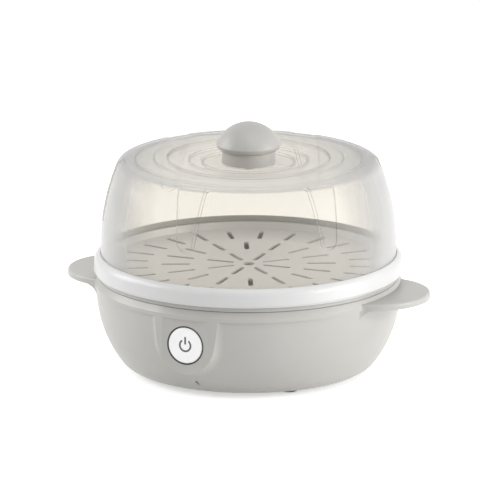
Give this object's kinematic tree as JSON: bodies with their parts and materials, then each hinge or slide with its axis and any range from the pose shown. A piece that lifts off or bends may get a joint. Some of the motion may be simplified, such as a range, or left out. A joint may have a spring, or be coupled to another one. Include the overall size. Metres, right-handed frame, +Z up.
{
  "type": "steam sterilizer",
  "caption": "Table-top electric steam sterilizer: round grey base with side handles and a push button, lift-off perforated white tray, and a milky dome lid with a mushroom knob.",
  "frame": {"origin": "on the floor under the middle of the round base, at the lowest points of the feet", "axes": "+X through the right-hand handle, -Y toward the button side, +Z up along the dome's axis"},
  "size_m": [0.3068, 0.25, 0.2041],
  "materials": {
    "housing_plastic": "satin",
    "tray_plastic": "satin",
    "lid_plastic": "milky, see-through",
    "knob_plastic": "satin",
    "button_plastic": "polished",
    "symbol_print": "matte",
    "foot_rubber": "matte",
    "silicone": "matte",
    "steel": "brushed",
    "brass_contact": "plain",
    "aluminium": "cast",
    "moulded_black": "matte",
    "terminal_green": "matte",
    "fuse_sleeve": "matte",
    "board_laminate": "satin",
    "plunger_white": "matte",
    "led_lens": "polished",
    "lead_brown": "satin",
    "lead_blue": "satin",
    "lead_green_yellow": "satin",
    "lead_white": "satin"
  },
  "bodies": {
    "base": {"base_housing": "housing_plastic", "water_tub": "housing_plastic", "bottom_cover": "housing_plastic", "bottom_screws": "steel", "rubber_feet": "foot_rubber", "heater_dish": "steel", "heater_gasket": "silicone", "heater_clamp": "steel", "heater_screws": "steel", "diffuser_plate": "aluminium", "heating_element": "steel", "element_terminals": "steel", "thermostat": "moulded_black", "thermostat_terminals": "brass_contact", "thermostat_bracket": "steel", "thermostat_screws": "steel", "thermal_fuse": "fuse_sleeve", "fuse_clip": "steel", "earth_tab": "steel", "control_board": "board_laminate", "board_screws": "steel", "relay": "moulded_black", "terminal_block": "terminal_green", "capacitor": "moulded_black", "status_led": "led_lens", "switch_body": "moulded_black", "power_inlet": "moulded_black", "inlet_pins": "brass_contact", "inlet_tabs": "brass_contact", "live_lead": "lead_brown", "neutral_lead": "lead_blue", "heater_lead": "lead_brown", "earth_lead": "lead_green_yellow", "fuse_leads": "lead_white"},
    "tray": {"steam_tray": "tray_plastic"},
    "lid": {"lid_dome": "lid_plastic", "knob_collar": "knob_plastic", "knob_cap": "knob_plastic", "knob_washer": "steel", "knob_screw": "steel"},
    "button": {"button_cap": "button_plastic", "power_symbol": "symbol_print"},
    "plunger": {"switch_plunger": "plunger_white"}
  },
  "joints": [
    {"name": "tray_lift", "type": "slide", "parent": "base", "child": "tray", "axis": [0, 0, 1], "range_m": [0, 0.08]},
    {"name": "lid_lift", "type": "slide", "parent": "tray", "child": "lid", "axis": [0, 0, 1], "range_m": [0, 0.15]},
    {"name": "button_press", "type": "slide", "parent": "base", "child": "button", "axis": [0.061, 0.9981, 0], "range_m": [0, 0.0015], "stiffness_N_per_m": 900},
    {"name": "plunger_press", "type": "slide", "parent": "base", "child": "plunger", "axis": [0.061, 0.9981, 0], "range_m": [0, 0.0015]}
  ],
  "couplings": [
    {"joint": "plunger_press", "follows": "button_press", "ratio": 1}
  ]
}
